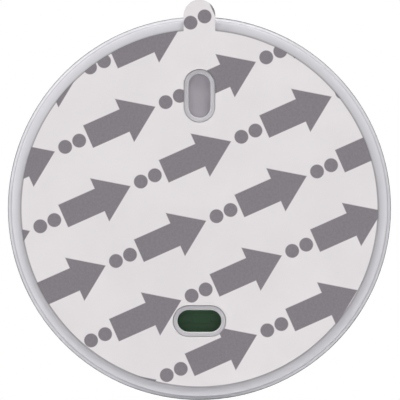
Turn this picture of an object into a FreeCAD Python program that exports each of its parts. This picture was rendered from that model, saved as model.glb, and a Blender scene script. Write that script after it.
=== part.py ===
import FreeCAD, Part
import math
import os
import Sketcher
from FreeCAD import Placement, Rotation, Vector

# Round stick-on smoke alarm.
#
# Every piece is drawn in the bench frame: the alarm lies on its back, x to the right
# and y up as its front is seen, z from its back to the front. Level 0 is the outer face of
# the release liner. WALL_POSE then stands each piece up as on a wall: bench z becomes +Y,
# bench y becomes +Z and bench x becomes -X.

WALL_POSE = Placement(Vector(0, 0, 0), Rotation(Vector(0, 1, 1), 180))

# Driving dimensions, in millimetres and degrees
DRIVING = {
    # Outline of the alarm
    "case_radius": 37.5,
    "case_depth": 30.0,
    "cover_wall": 2.0,
    "shoulder_radius": 6.0,
    "dome_radius": 250.0,
    "seam_level": 9.0,
    "seam_gap": 0.2,
    "lap_length": 2.0,
    "lap_wall": 0.9,
    "lap_gap": 0.1,
    # Liner, adhesive pad and mounting plate
    "liner_thick": 0.15,
    "pad_inset": 1.9,
    "pad_thick": 1.0,
    "tab_width": 6.2,
    "tab_reach": 5.85,
    "plate_inset": 0.65,
    "plate_thick": 2.0,
    "plate_round": 0.4,
    "slot_width": 4.3,
    "slot_length": 8.6,
    "slot_offset": 22.0,
    "collar_wall": 0.9,
    "collar_drop": 0.1,
    "collar_round": 0.2,
    "cutout_gap": 0.04,
    # Twist lock between plate and rear housing
    "parting_gap": 0.2,
    "floor_thick": 1.5,
    "edge_round": 1.2,
    "hook_count": 3,
    "hook_inset": 1.9,
    "hook_wall": 1.2,
    "hook_lip": 1.2,
    "lip_thick": 1.2,
    "lip_gap": 0.15,
    "hook_gap": 0.2,
    "hook_span": 14.0,
    "hook_angle": 37.0,
    "twist_angle": 15.0,
    "entry_extra": 1.0,
    # Lithium cell, its bay and its door
    "cell_radius": 7.8,
    "cell_length": 27.0,
    "nub_length": 1.0,
    "nub_radius": 3.1,
    "bay_corner_gap": 2.0,
    "bay_wall": 1.2,
    "cell_gap": 0.3,
    "contact_room": 1.35,
    "contact_thick": 0.4,
    "contact_width": 9.0,
    "tab_strip": 2.4,
    "strip_gap": 0.1,
    "door_thick": 1.2,
    "door_gap": 0.15,
    "tongue_width": 8.0,
    "tongue_reach": 0.7,
    "tongue_thick": 0.6,
    "finger_length": 10.0,
    "finger_width": 2.4,
    "finger_depth": 0.6,
    "finger_inset": 3.6,
    # Circuit board and what stands on it
    "board_standoff": 1.8,
    "board_thick": 1.6,
    "board_inset": 2.0,
    "board_gap": 0.3,
    "window_edge_along": 2.0,
    "window_edge_across": 1.05,
    "post_radius": 1.8,
    "board_screw_radius": 0.75,
    "board_screw_head": 1.7,
    "board_screw_cap": 1.0,
    "board_screw_bite": 2.6,
    "screw_gap": 0.05,
    "cross_width": 0.5,
    "post_edge": 0.4,
    "post_inset": 3.0,
    "solder_edge": 1.6,
    "part_gap": 1.2,
    "chip_length": 5.0,
    "chip_width": 3.2,
    "chip_height": 1.4,
    "lead_width": 0.4,
    "lead_reach": 0.8,
    "lead_pitch": 1.27,
    "lead_thick": 0.45,
    "coil_radius": 3.0,
    "coil_height": 6.0,
    "coil_flange": 0.8,
    "coil_waist": 0.6,
    "transistor_length": 4.5,
    "transistor_width": 2.5,
    "transistor_height": 1.5,
    "resistor_pitch": 2.2,
    "resistor_length": 2.0,
    "resistor_width": 1.2,
    "resistor_height": 0.6,
    "capacitor_x": 4.6,
    "capacitor_pitch": 5.6,
    "capacitor_radius": 2.2,
    "capacitor_height": 7.0,
    "lamp_gap": 0.95,
    "lamp_length": 2.0,
    "lamp_width": 1.25,
    "lamp_height": 0.8,
    "pipe_radius": 1.2,
    "pipe_flange": 2.0,
    "pipe_flange_thick": 0.8,
    "pipe_gap": 0.3,
    "pipe_fit": 0.1,
    "pipe_recess": 0.2,
    # Case screws from the back
    "column_radius": 3.9,
    "column_edge": 0.6,
    "screw_seat": 2.2,
    "column_top": 3.8,
    "head_room": 2.8,
    "case_screw_head": 2.4,
    "case_screw_cap": 1.6,
    "case_screw_radius": 1.2,
    "case_screw_length": 9.0,
    "boss_radius": 3.0,
    "screw_angle_gap": 9.6,
    # Smoke chamber
    "chamber_angle": 215.0,
    "chamber_gap": 1.5,
    "chamber_radius": 12.5,
    "chamber_height": 13.0,
    "chamber_floor": 1.4,
    "chamber_roof": 1.2,
    "mesh_thick": 0.3,
    "mesh_gap": 0.05,
    "mesh_rows": 4,
    "mesh_columns": 32,
    "mesh_bar": 0.9,
    "vane_count": 16,
    "vane_thick": 0.8,
    "vane_length": 4.2,
    "vane_angle": 52.0,
    "vane_inset": 1.2,
    "optic_level": 5.2,
    "optic_gap": 0.8,
    "optic_angle": 135.0,
    "emitter_radius": 1.5,
    "emitter_length": 4.0,
    "emitter_back": 1.25,
    "holder_wall": 0.8,
    "holder_length": 3.0,
    "pin_side": 0.5,
    "pin_gap": 0.25,
    "pin_spread": 0.75,
    "pin_setback": 0.75,
    "diode_side": 3.2,
    "diode_thick": 1.4,
    "shield_wall": 0.3,
    "shield_gap": 0.1,
    # Sounder
    "sounder_angle": 324.0,
    "sounder_gap": 2.2,
    "sounder_radius": 10.5,
    "sounder_wall": 1.2,
    "sounder_seat": 4.6,
    "disc_margin": 1.3,
    "disc_thick": 0.25,
    "element_margin": 2.8,
    "element_thick": 0.25,
    "cup_rise": 6.5,
    "neck_radius": 5.2,
    "neck_wall": 1.2,
    "spring_radius": 0.5,
    "sound_hole": 0.9,
    "sound_pitch": 3.0,
    "sound_count": 6,
    "neck_gap": 0.3,
    # Test button and its switch
    "button_radius": 11.0,
    "button_gap": 0.25,
    "button_wall": 1.6,
    "button_round": 0.5,
    "button_flange": 1.3,
    "crown_flat": 0.5,
    "flange_thick": 1.2,
    "flange_drop": 0.7,
    "button_travel": 0.8,
    "stem_radius": 1.6,
    "switch_x": 2.5,
    "switch_y": 2.4,
    "switch_side": 6.0,
    "switch_height": 3.5,
    "plunger_radius": 1.7,
    "plunger_fit": 0.08,
    "plunger_out": 1.4,
    "plunger_in": 1.5,
    "plunger_room": 0.3,
    # Smoke inlets in the front cover's side
    "inlet_count": 48,
    "inlet_width": 2.4,
    "inlet_height": 5.0,
    "inlet_rise": 1.0,
    "inlet_band": 7.0,
    "inlet_recess": 0.8,
}

# Places that follow from the driving dimensions, each worked out from the ones before it
DERIVED = {
    "pad_radius": "dims.case_radius - dims.plate_inset - dims.pad_inset",
    "plate_radius": "dims.case_radius - dims.plate_inset",
    "inner_radius": "dims.case_radius - dims.cover_wall",
    "pad_front": "dims.liner_thick + dims.pad_thick",
    "collar_back": "dims.liner_thick + dims.collar_drop",
    "plate_front": "at.pad_front + dims.plate_thick",
    "floor_back": "at.plate_front + dims.parting_gap",
    "floor_front": "at.floor_back + dims.floor_thick",
    "collar_width": "dims.slot_width + 2 * dims.collar_wall",
    "collar_length": "dims.slot_length + 2 * dims.collar_wall",
    "lip_outer": "at.inner_radius - dims.hook_inset",
    "post_outer": "at.lip_outer - dims.hook_lip",
    "post_inner": "at.post_outer - dims.hook_wall",
    "lip_back": "at.floor_front + dims.lip_gap",
    "lip_front": "at.lip_back + dims.lip_thick",
    "bay_half_length": "dims.cell_length / 2 + dims.contact_room",
    "bay_end": "at.bay_half_length + dims.bay_wall",
    "bay_top": "sqrt((at.inner_radius - dims.bay_corner_gap) ^ 2 - at.bay_end ^ 2)",
    "bay_high": "at.bay_top - dims.bay_wall",
    "cell_y": "at.bay_high - dims.cell_gap - dims.cell_radius",
    "bay_low": "at.cell_y - dims.cell_radius - dims.cell_gap",
    "bay_bottom": "at.bay_low - dims.bay_wall",
    "door_front": "at.floor_back + dims.door_thick",
    "cell_level": "at.door_front + dims.cell_gap + dims.cell_radius",
    "bay_roof": "at.cell_level + dims.cell_radius + dims.cell_gap",
    "board_back": "at.floor_front + dims.board_standoff",
    "board_front": "at.board_back + dims.board_thick",
    "board_radius": "at.inner_radius - dims.board_inset",
    "board_edge": "at.bay_bottom - dims.board_gap",
    "parts_line": "at.board_edge - dims.solder_edge",
    "column_front": "at.floor_back + dims.column_top",
    "seat_level": "at.floor_back + dims.screw_seat",
    "screw_circle": "at.inner_radius - dims.column_radius - dims.column_edge",
    "hook_pitch": "360 / dims.hook_count",
    "track_start": "-(dims.hook_span / 2 + dims.entry_extra + dims.twist_angle)",
    "track_end": "dims.hook_span / 2 + dims.entry_extra",
    "screw_before": "dims.hook_angle + at.track_start - dims.screw_angle_gap",
    "screw_after": "dims.hook_angle + at.track_end + dims.screw_angle_gap",
    "screw_right_x": "at.screw_circle * cos(at.screw_before)",
    "screw_right_y": "at.screw_circle * sin(at.screw_before)",
    "screw_left_x": "at.screw_circle * cos(at.screw_after + at.hook_pitch)",
    "screw_left_y": "at.screw_circle * sin(at.screw_after + at.hook_pitch)",
    "screw_low_x": "at.screw_circle * cos(at.screw_after + 2 * at.hook_pitch)",
    "screw_low_y": "at.screw_circle * sin(at.screw_after + 2 * at.hook_pitch)",
    "window_length": "dims.slot_length + 2 * dims.window_edge_along",
    "window_width": "dims.slot_width + 2 * dims.window_edge_across",
    "post_room": "dims.post_edge + dims.post_radius",
    "post_reach": "at.post_inner - dims.hook_gap - at.post_room",
    "notch_radius": "dims.column_radius + dims.board_gap",
    "board_screw_right_x": "at.screw_right_x - at.notch_radius - at.post_room",
    "board_screw_right_y": "at.board_edge - dims.post_inset",
    "board_screw_left_x": "at.screw_left_x + at.notch_radius + at.post_room",
    "board_screw_left_y": "at.board_edge - dims.post_inset",
    "board_screw_low_x": "-(at.window_length / 2 + at.post_room)",
    "board_screw_low_y": "-sqrt(at.post_reach ^ 2 - at.board_screw_low_x ^ 2)",
    "switch_left": "dims.switch_x - dims.switch_side / 2",
    "switch_right": "dims.switch_x + dims.switch_side / 2",
    "chip_x": "at.switch_left - dims.part_gap - dims.chip_length / 2",
    "chip_left": "at.chip_x - dims.chip_length / 2",
    "resistor_x": "at.chip_left - dims.part_gap - dims.resistor_width / 2",
    "coil_x": "at.switch_right + dims.part_gap + dims.coil_radius",
    "coil_right": "at.coil_x + dims.coil_radius",
    "transistor_x": "at.coil_right + dims.part_gap + dims.transistor_length / 2",
    "dome_centre": "dims.case_depth - dims.dome_radius",
    "dome_inner": "dims.dome_radius - dims.cover_wall",
    "shoulder_x": "dims.case_radius - dims.shoulder_radius",
    "shoulder_swing": "dims.dome_radius - dims.shoulder_radius",
    "shoulder_rise": "sqrt(at.shoulder_swing ^ 2 - at.shoulder_x ^ 2)",
    "shoulder_level": "at.dome_centre + at.shoulder_rise",
    "dome_edge_x": "dims.dome_radius * at.shoulder_x / at.shoulder_swing",
    "dome_edge_z": "at.dome_centre + dims.dome_radius * at.shoulder_rise / at.shoulder_swing",
    "inner_edge_x": "at.dome_inner * at.shoulder_x / at.shoulder_swing",
    "inner_edge_z": "at.dome_centre + at.dome_inner * at.shoulder_rise / at.shoulder_swing",
    "crown_inner": "dims.case_depth - dims.cover_wall",
    "boss_roof": "at.dome_centre + sqrt(at.dome_inner ^ 2 - at.screw_circle ^ 2)",
    "boss_top": "at.boss_roof + dims.cover_wall / 3",
    "chamber_reach": "at.inner_radius - dims.chamber_radius - dims.chamber_gap",
    "chamber_x": "at.chamber_reach * cos(dims.chamber_angle)",
    "chamber_y": "at.chamber_reach * sin(dims.chamber_angle)",
    "chamber_top": "at.board_front + dims.chamber_height",
    "optic_height": "at.board_front + dims.chamber_floor + dims.optic_level",
    "vane_outer": "dims.chamber_radius - dims.vane_inset",
    "vane_tip_x": "at.vane_outer - dims.vane_length * cos(dims.vane_angle)",
    "vane_tip_y": "dims.vane_length * sin(dims.vane_angle)",
    "vane_inner": "sqrt(at.vane_tip_x ^ 2 + at.vane_tip_y ^ 2) - dims.vane_thick / 2",
    "emitter_reach": "at.vane_inner - dims.optic_gap",
    "optic_offset": "at.emitter_reach - dims.emitter_back - dims.holder_length",
    "sounder_reach": "at.inner_radius - dims.sounder_radius - dims.sounder_gap",
    "sounder_x": "at.sounder_reach * cos(dims.sounder_angle)",
    "sounder_y": "at.sounder_reach * sin(dims.sounder_angle)",
    "disc_radius": "dims.sounder_radius - dims.disc_margin",
    "element_radius": "at.disc_radius - dims.element_margin",
    "neck_edge": "at.sounder_reach + dims.neck_radius",
    "disc_back": "at.board_front + dims.sounder_seat",
    "cup_back": "at.disc_back + dims.disc_thick",
    "cup_top": "at.cup_back + dims.cup_rise",
    "neck_roof": "at.dome_centre + sqrt(at.dome_inner ^ 2 - at.neck_edge ^ 2)",
    "neck_top": "at.neck_roof - dims.neck_gap",
    "flange_radius": "dims.button_radius + dims.button_gap + dims.button_flange",
    "flange_front": "at.crown_inner - dims.flange_drop",
    "flange_back": "at.flange_front - dims.flange_thick",
    "button_shoulder": "dims.button_radius - dims.button_round",
    "button_face": "at.dome_centre + sqrt(dims.dome_radius ^ 2 - at.button_shoulder ^ 2)",
    "hole_radius": "dims.button_radius + dims.button_gap",
    "hole_face": "at.dome_centre + sqrt(dims.dome_radius ^ 2 - at.hole_radius ^ 2)",
    "hole_inner": "at.dome_centre + sqrt(at.dome_inner ^ 2 - at.hole_radius ^ 2)",
    "switch_top": "at.board_front + dims.switch_height",
    "plunger_top": "at.switch_top + dims.plunger_out",
    "pipe_back": "at.board_front + dims.lamp_height + dims.pipe_gap",
    "lamp_drop": "at.flange_radius + dims.lamp_gap + dims.pipe_flange",
    "capacitor_top": "at.lamp_drop + dims.lamp_width / 2 + dims.part_gap",
    "capacitor_y": "-(at.capacitor_top + dims.capacitor_radius)",
    "lamp_face": "at.dome_centre + sqrt(dims.dome_radius ^ 2 - at.lamp_drop ^ 2)",
    "pipe_front": "at.lamp_face - dims.pipe_recess",
    "pipe_shelf": "at.lamp_face - dims.cover_wall - dims.pipe_gap",
    "inlet_level": "(dims.seam_level + at.shoulder_level) / 2 + dims.inlet_rise",
    "inlet_low": "at.inlet_level - dims.inlet_band / 2",
    "inlet_high": "at.inlet_level + dims.inlet_band / 2",
    "groove_radius": "dims.case_radius - dims.inlet_recess",
}

doc = FreeCAD.newDocument("smoke_alarm")
nodes = []


def make_dims():
    """The spreadsheet of driving dimensions."""
    sheet = doc.addObject("Spreadsheet::Sheet", "dims")
    for row, (alias, size) in enumerate(DRIVING.items(), 1):
        sheet.set(f"A{row}", str(size))
        sheet.setAlias(f"A{row}", alias)
    doc.recompute()
    return sheet


def make_places():
    """The set of derived places, which other sizes refer to as at.NAME."""
    places = doc.addObject("App::VarSet", "at")
    for place, formula in DERIVED.items():
        places.addProperty("App::PropertyFloat", place)
        places.setExpression(place, formula)
    doc.recompute()
    return places


dims = make_dims()
at = make_places()


def number(formula):
    """The value of an expression now, used to draw a sketch near its final size."""
    return float(dims.evalExpression(formula))


def new_body(label):
    """An empty body for one piece, stood up against the wall."""
    body = doc.addObject("PartDesign::Body", label)
    body.Label = label
    body.Placement = WALL_POSE
    nodes.append(body)
    return body


def datum(body, role):
    """A plane or axis of the body's own origin."""
    return [feature for feature in body.Origin.OriginFeatures if feature.Role == role][0]


def new_sketch(body, plane="XY_Plane", level="0", turn="0"):
    """A sketch on a plane of the body's origin, lifted to level and turned in its plane."""
    sketch = body.newObject("Sketcher::SketchObject", "sketch")
    sketch.AttachmentSupport = [(datum(body, plane), "")]
    sketch.MapMode = "FlatFace"
    # A turn other than 0 fixes the axis that the bound angle then turns about
    sketch.AttachmentOffset = Placement(Vector(0, 0, 0), Rotation(Vector(0, 0, 1), 1))
    sketch.setExpression("AttachmentOffset.Base.z", level)
    sketch.setExpression("AttachmentOffset.Rotation.Angle", turn)
    return sketch


def hold(sketch, kind, place, formula):
    """One constraint bound to an expression. Place is an edge, or an edge and its point."""
    index = sketch.addConstraint(Sketcher.Constraint(kind, *place, number(formula)))
    sketch.setExpression(f"Constraints[{index}]", formula)


def hold_point(sketch, edge, point, across, up):
    """Holds a point of an edge at its two distances from the sketch's origin."""
    hold(sketch, "DistanceX", (edge, point), across)
    hold(sketch, "DistanceY", (edge, point), up)


def add_circle(sketch, across, up, radius):
    """A circle held by its centre and radius."""
    centre = Vector(number(across), number(up), 0)
    edge = sketch.addGeometry(Part.Circle(centre, Vector(0, 0, 1), number(radius)), False)
    hold(sketch, "Radius", (edge,), radius)
    hold_point(sketch, edge, 3, across, up)


def add_outline(sketch, corners, arcs=None):
    """A closed outline through corners. arcs maps the number of an edge, which starts at
    that corner, to its radius and to the side of its centre: 1 left of the way, -1 right."""
    arcs = arcs or {}
    first = sketch.GeometryCount
    count = len(corners)
    points = [Vector(number(across), number(up), 0) for across, up in corners]
    ends = []
    for index, start in enumerate(points):
        stop = points[(index + 1) % count]
        if index not in arcs:
            sketch.addGeometry(Part.LineSegment(start, stop), False)
            ends.append((1, 2))
            continue
        radius = number(arcs[index][0])
        side = arcs[index][1]
        chord = stop - start
        left = Vector(-chord.y, chord.x, 0).normalize()
        height = math.sqrt(max(radius**2 - (chord.Length / 2) ** 2, 0))
        centre = start + chord * 0.5 + left * (height * side)
        low, high = (start, stop) if side > 0 else (stop, start)
        angles = [math.atan2(point.y - centre.y, point.x - centre.x) for point in (low, high)]
        circle = Part.Circle(centre, Vector(0, 0, 1), radius)
        sketch.addGeometry(Part.ArcOfCircle(circle, *angles), False)
        ends.append((1, 2) if side > 0 else (2, 1))
    for index in range(count):
        follower = (index + 1) % count
        joint = (first + index, ends[index][1], first + follower, ends[follower][0])
        sketch.addConstraint(Sketcher.Constraint("Coincident", *joint))
    for index, (across, up) in enumerate(corners):
        hold_point(sketch, first + index, ends[index][0], across, up)
    for index, (radius, side) in arcs.items():
        hold(sketch, "Radius", (first + index,), radius)


def add_rectangle(sketch, left, right, low, high):
    """A rectangle from left to right and from low to high."""
    add_outline(sketch, [(left, low), (right, low), (right, high), (left, high)])


def add_obround(sketch, across, up, length, width, upright):
    """A slot outline with round ends, centred on a point."""
    first = sketch.GeometryCount
    reach = f"(({length}) - ({width})) / 2"
    half = f"({width}) / 2"
    ways = [(-1, -1), (1, -1), (1, 1), (-1, 1)]
    if upright:
        ways = [(1, -1), (1, 1), (-1, 1), (-1, -1)]
    along, beside = (half, reach) if upright else (reach, half)
    corners = [(f"({across}) + {x} * ({along})", f"({up}) + {y} * ({beside})") for x, y in ways]
    points = [Vector(number(x), number(y), 0) for x, y in corners]
    radius = number(half)
    start_angle = 0 if upright else -math.pi / 2
    for side in (0, 1):
        start, stop = points[2 * side], points[2 * side + 1]
        sketch.addGeometry(Part.LineSegment(start, stop), False)
        centre = (stop + points[(2 * side + 2) % 4]) * 0.5
        circle = Part.Circle(centre, Vector(0, 0, 1), radius)
        begin = start_angle + side * math.pi
        sketch.addGeometry(Part.ArcOfCircle(circle, begin, begin + math.pi), False)
    for index in range(4):
        joint = (first + index, 2, first + (index + 1) % 4, 1)
        sketch.addConstraint(Sketcher.Constraint("Coincident", *joint))
        hold_point(sketch, first + index, 1, *corners[index])
    for index, way in ((1, 1), (3, -1)):
        if upright:
            hold(sketch, "DistanceY", (first + index, 3), f"({up}) + {way} * ({reach})")
        else:
            hold(sketch, "DistanceX", (first + index, 3), f"({across}) + {way} * ({reach})")


def add_sector(sketch, inner, outer, start, stop):
    """A piece of a ring between two radii and two angles."""
    corners = [
        (f"({inner}) * cos({start})", f"({inner}) * sin({start})"),
        (f"({outer}) * cos({start})", f"({outer}) * sin({start})"),
        (f"({outer}) * cos({stop})", f"({outer}) * sin({stop})"),
        (f"({inner}) * cos({stop})", f"({inner}) * sin({stop})"),
    ]
    add_outline(sketch, corners, {1: (outer, 1), 3: (inner, -1)})


def pad(body, sketch, length):
    """Raises a sketch towards the front."""
    feature = body.newObject("PartDesign::Pad", "pad")
    feature.Profile = sketch
    feature.setExpression("Length", length)
    return feature


def pocket(body, sketch, depth):
    """Cuts a sketch towards the front, from its own level."""
    feature = body.newObject("PartDesign::Pocket", "pocket")
    feature.Profile = sketch
    feature.Type = "Length"
    feature.Reversed = True
    feature.setExpression("Length", depth)
    return feature


def revolve(body, sketch):
    """Turns a profile once round the alarm's axis."""
    feature = body.newObject("PartDesign::Revolution", "revolution")
    feature.Profile = sketch
    feature.ReferenceAxis = (datum(body, "Z_Axis"), [""])
    feature.Angle = 360
    return feature


def polar(body, originals, count):
    """Repeats features round the body's own axis."""
    feature = body.newObject("PartDesign::PolarPattern", "pattern")
    feature.Originals = originals
    feature.Axis = (datum(body, "Z_Axis"), [""])
    feature.Angle = 360
    feature.setExpression("Occurrences", count)
    body.Tip = feature
    doc.recompute()
    return feature


def fillet_level(body, base, level, radius):
    """Rounds every edge of a feature that lies in the plane z = level."""
    doc.recompute()
    height = number(level)
    names = []
    for index, edge in enumerate(base.Shape.Edges, 1):
        box = edge.BoundBox
        if abs(box.ZMin - height) < 1e-6 and abs(box.ZMax - height) < 1e-6:
            names.append(f"Edge{index}")
    feature = body.newObject("PartDesign::Fillet", "fillet")
    feature.Base = (base, names)
    feature.setExpression("Radius", radius)
    return feature


def place(item, across, up, level):
    """Binds where a primitive stands."""
    item.setExpression("Placement.Base.x", across)
    item.setExpression("Placement.Base.y", up)
    item.setExpression("Placement.Base.z", level)
    return item


def cylinder(radius, height, across, up, level, lean=None):
    """A cylinder from its base centre along +z, or leant over by the rotation given."""
    item = doc.addObject("Part::Cylinder", "cylinder")
    item.setExpression("Radius", radius)
    item.setExpression("Height", height)
    if lean:
        item.Placement.Rotation = lean
    return place(item, across, up, level)


def cone(radius_low, radius_high, height, across, up, level, lean=None):
    """A cone from its base centre along +z, or leant over by the rotation given."""
    item = doc.addObject("Part::Cone", "cone")
    item.setExpression("Radius1", radius_low)
    item.setExpression("Radius2", radius_high)
    item.setExpression("Height", height)
    if lean:
        item.Placement.Rotation = lean
    return place(item, across, up, level)


def box(length, width, height, across, up, level):
    """A box centred on a point in plan, standing on its level."""
    item = doc.addObject("Part::Box", "box")
    item.setExpression("Length", length)
    item.setExpression("Width", width)
    item.setExpression("Height", height)
    return place(item, f"({across}) - ({length}) / 2", f"({up}) - ({width}) / 2", level)


def fuse(*items):
    """Joins primitives into one solid."""
    item = doc.addObject("Part::MultiFuse", "fusion")
    item.Shapes = list(items)
    return item


def cut(base, *tools):
    """Takes tools away from a base."""
    item = doc.addObject("Part::Cut", "cut")
    item.Base = base
    item.Tool = tools[0] if len(tools) == 1 else fuse(*tools)
    return item


def piece(label, *items):
    """Names a piece, or a set of like pieces, and stands it up against the wall."""
    item = doc.addObject("Part::Compound", label)
    item.Links = list(items)
    item.Label = label
    item.Placement = WALL_POSE
    nodes.append(item)


def add_slot_pair(sketch, length, width):
    """The upper slot stands upright and the lower one lies across."""
    add_obround(sketch, "0", "dims.slot_offset", length, width, True)
    add_obround(sketch, "0", "-dims.slot_offset", length, width, False)


def cut_collar_openings(body, level, depth):
    """Openings that clear the plate's two slot collars."""
    sketch = new_sketch(body, level=level)
    gap = "2 * dims.cutout_gap"
    add_slot_pair(sketch, f"at.collar_length + {gap}", f"at.collar_width + {gap}")
    pocket(body, sketch, depth)


def release_liner():
    """The printed film with its pull tab, which runs out over the edge at the top."""
    body = new_body("release_liner")
    sketch = new_sketch(body)
    add_circle(sketch, "0", "0", "at.pad_radius")
    pad(body, sketch, "dims.liner_thick")
    tab = new_sketch(body)
    length = "dims.tab_reach + 2 * dims.tab_width"
    middle = f"at.pad_radius + dims.tab_reach - ({length}) / 2"
    add_obround(tab, "0", middle, length, "dims.tab_width", True)
    pad(body, tab, "dims.liner_thick")
    cut_collar_openings(body, "0", "dims.liner_thick")


def adhesive_pad():
    """The foam disc, sticky on both faces."""
    body = new_body("adhesive_pad")
    sketch = new_sketch(body, level="dims.liner_thick")
    add_circle(sketch, "0", "0", "at.pad_radius")
    pad(body, sketch, "dims.pad_thick")
    cut_collar_openings(body, "dims.liner_thick", "dims.pad_thick")


def mounting_plate():
    """A disc with a rounded rim, two screw slots in raised collars and three lock hooks."""
    body = new_body("mounting_plate")
    profile = new_sketch(body, "XZ_Plane")
    corners = [
        ("0", "at.pad_front"),
        ("at.plate_radius - dims.plate_round", "at.pad_front"),
        ("at.plate_radius", "at.pad_front + dims.plate_round"),
        ("at.plate_radius", "at.plate_front"),
        ("0", "at.plate_front"),
    ]
    add_outline(profile, corners, {1: ("dims.plate_round", 1)})
    revolve(body, profile)
    collars = new_sketch(body, level="at.collar_back")
    add_slot_pair(collars, "at.collar_length", "at.collar_width")
    pad(body, collars, "at.pad_front - at.collar_back")
    slots = new_sketch(body, level="at.collar_back")
    add_slot_pair(slots, "dims.slot_length", "dims.slot_width")
    slot_cut = pocket(body, slots, "at.plate_front - at.collar_back")
    fillet_level(body, slot_cut, "at.collar_back", "dims.collar_round")
    span = ("-dims.hook_span / 2", "dims.hook_span / 2")
    post = new_sketch(body, level="at.plate_front", turn="dims.hook_angle")
    add_sector(post, "at.post_inner", "at.post_outer", *span)
    post_pad = pad(body, post, "at.lip_front - at.plate_front")
    lip = new_sketch(body, level="at.lip_back", turn="dims.hook_angle")
    add_sector(lip, "at.post_inner", "at.lip_outer", *span)
    lip_pad = pad(body, lip, "dims.lip_thick")
    polar(body, [post_pad, lip_pad], "dims.hook_count")


def rear_housing():
    """The back shell: floor, skirt, cell bay, screw columns, board posts and lock slots."""
    body = new_body("rear_housing")
    profile = new_sketch(body, "XZ_Plane")
    skirt_top = "dims.seam_level - dims.seam_gap"
    tongue_outer = "at.inner_radius + dims.lap_wall"
    corners = [
        ("0", "at.floor_back"),
        ("dims.case_radius - dims.edge_round", "at.floor_back"),
        ("dims.case_radius", "at.floor_back + dims.edge_round"),
        ("dims.case_radius", skirt_top),
        (tongue_outer, skirt_top),
        (tongue_outer, "dims.seam_level + dims.lap_length"),
        ("at.inner_radius", "dims.seam_level + dims.lap_length"),
        ("at.inner_radius", "at.floor_front"),
        ("0", "at.floor_front"),
    ]
    add_outline(profile, corners, {1: ("dims.edge_round", 1)})
    revolve(body, profile)
    cell_bay(body)
    screw_columns(body)
    board_posts(body)
    window = new_sketch(body, level="at.floor_back")
    add_obround(window, "0", "-dims.slot_offset", "at.window_length", "at.window_width", False)
    pocket(body, window, "dims.floor_thick")
    lock_slots(body)


def cell_bay(body):
    """The bay for the lithium cell, closed towards the front, with the door's seat."""
    block = new_sketch(body, level="at.floor_back")
    add_rectangle(block, "-at.bay_end", "at.bay_end", "at.bay_bottom", "at.bay_top")
    pad(body, block, "at.bay_roof + dims.bay_wall - at.floor_back")
    hollow = new_sketch(body, level="at.floor_back")
    sides = ("-at.bay_half_length", "at.bay_half_length")
    add_rectangle(hollow, *sides, "at.bay_low", "at.bay_high")
    pocket(body, hollow, "at.bay_roof - at.floor_back")
    seat = new_sketch(body, level="at.floor_back")
    add_rectangle(seat, "-at.bay_end", "at.bay_end", "at.bay_bottom", "at.bay_top")
    pocket(body, seat, "dims.door_thick")
    groove = new_sketch(body, level="at.door_front - dims.tongue_thick - dims.door_gap")
    half = "dims.tongue_width / 2 + dims.door_gap"
    add_rectangle(groove, f"-({half})", half, "at.bay_top - dims.door_gap",
                  "at.bay_top + dims.tongue_reach + dims.door_gap")
    pocket(body, groove, "dims.tongue_thick + dims.door_gap")
    slits = new_sketch(body, level="at.board_front - dims.strip_gap")
    for side in (-1, 1):
        outer = f"{side} * at.bay_half_length"
        inner = f"{side} * (at.bay_half_length - dims.contact_thick - dims.strip_gap)"
        left, right = (outer, inner) if side < 0 else (inner, outer)
        add_rectangle(slits, left, right, "at.bay_bottom - dims.strip_gap",
                      "at.bay_low + dims.strip_gap")
    pocket(body, slits, "dims.tab_strip + 2 * dims.strip_gap")


def add_case_screw_circles(sketch, radius):
    """Circles at the three case screws."""
    for side in ("right", "left", "low"):
        add_circle(sketch, f"at.screw_{side}_x", f"at.screw_{side}_y", radius)


def add_board_screw_circles(sketch, radius):
    """Circles at the three board screws."""
    for side in ("right", "left", "low"):
        add_circle(sketch, f"at.board_screw_{side}_x", f"at.board_screw_{side}_y", radius)


def screw_columns(body):
    """Columns that sink the heads of the case screws."""
    columns = new_sketch(body, level="at.floor_back")
    add_case_screw_circles(columns, "dims.column_radius")
    pad(body, columns, "dims.column_top")
    sinks = new_sketch(body, level="at.floor_back")
    add_case_screw_circles(sinks, "dims.head_room")
    pocket(body, sinks, "dims.screw_seat")
    holes = new_sketch(body, level="at.floor_back")
    add_case_screw_circles(holes, "dims.case_screw_radius + dims.screw_gap")
    pocket(body, holes, "dims.column_top")


def board_posts(body):
    """Posts that the circuit board is screwed to."""
    posts = new_sketch(body, level="at.floor_front - dims.floor_thick / 2")
    add_board_screw_circles(posts, "dims.post_radius")
    pad(body, posts, "dims.board_standoff + dims.floor_thick / 2")
    bores = new_sketch(body, level="at.board_back - dims.board_screw_bite")
    add_board_screw_circles(bores, "dims.board_screw_radius + dims.screw_gap")
    pocket(body, bores, "dims.board_screw_bite")


def lock_slots(body):
    """Slots that the plate's hooks enter and then slide along."""
    gap = "dims.hook_gap"
    track = new_sketch(body, level="at.floor_back", turn="dims.hook_angle")
    radii = (f"at.post_inner - {gap}", f"at.post_outer + {gap}")
    add_sector(track, *radii, "at.track_start", "at.track_end")
    track_cut = pocket(body, track, "dims.floor_thick")
    entry = new_sketch(body, level="at.floor_back", turn="dims.hook_angle")
    radii = (f"at.post_inner - {gap}", f"at.lip_outer + {gap}")
    add_sector(entry, *radii, "at.track_start", "at.track_end - dims.twist_angle")
    entry_cut = pocket(body, entry, "dims.floor_thick")
    polar(body, [track_cut, entry_cut], "dims.hook_count")


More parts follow.
